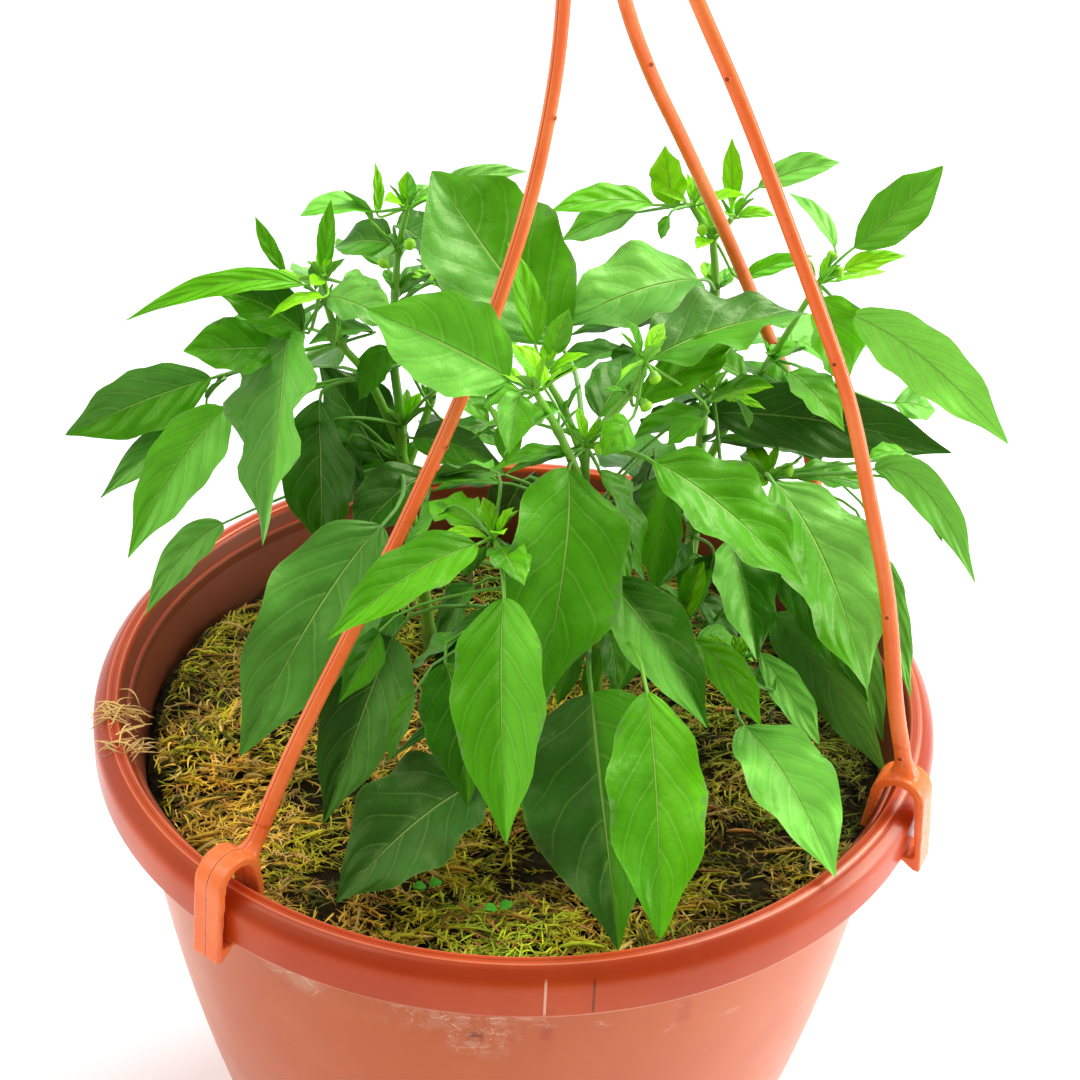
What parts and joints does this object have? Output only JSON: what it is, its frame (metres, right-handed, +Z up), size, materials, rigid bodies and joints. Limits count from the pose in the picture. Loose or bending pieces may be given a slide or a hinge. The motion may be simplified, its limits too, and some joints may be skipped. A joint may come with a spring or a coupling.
{
  "type": "potted chilli pepper plant in a hanging pot",
  "caption": "Leafy chilli pepper plants growing in a round terracotta-coloured plastic hanging pot with a clip-on rod hanger and a hook.",
  "frame": {"origin": "centre of the pot's underside", "axes": "+Z up along the pot's axis, -Y towards the viewer, +X to the viewer's right"},
  "size_m": [0.3066, 0.286, 0.5879],
  "materials": {
    "terracotta_plastic": "satin moulded plastic, a little dirty",
    "hanger_plastic": "glossy moulded plastic",
    "soil_mix": "loose, with moss strands",
    "foliage": "soft satin leaves"
  },
  "bodies": {
    "root": {"pot": "terracotta_plastic", "soil": "soil_mix", "plant_left": "foliage", "plant_front": "foliage", "plant_right": "foliage", "hanger_arm_left": "hanger_plastic", "hanger_arm_right": "hanger_plastic", "hanger_arm_back": "hanger_plastic", "hanger_hub": "hanger_plastic"}
  },
  "joints": []
}
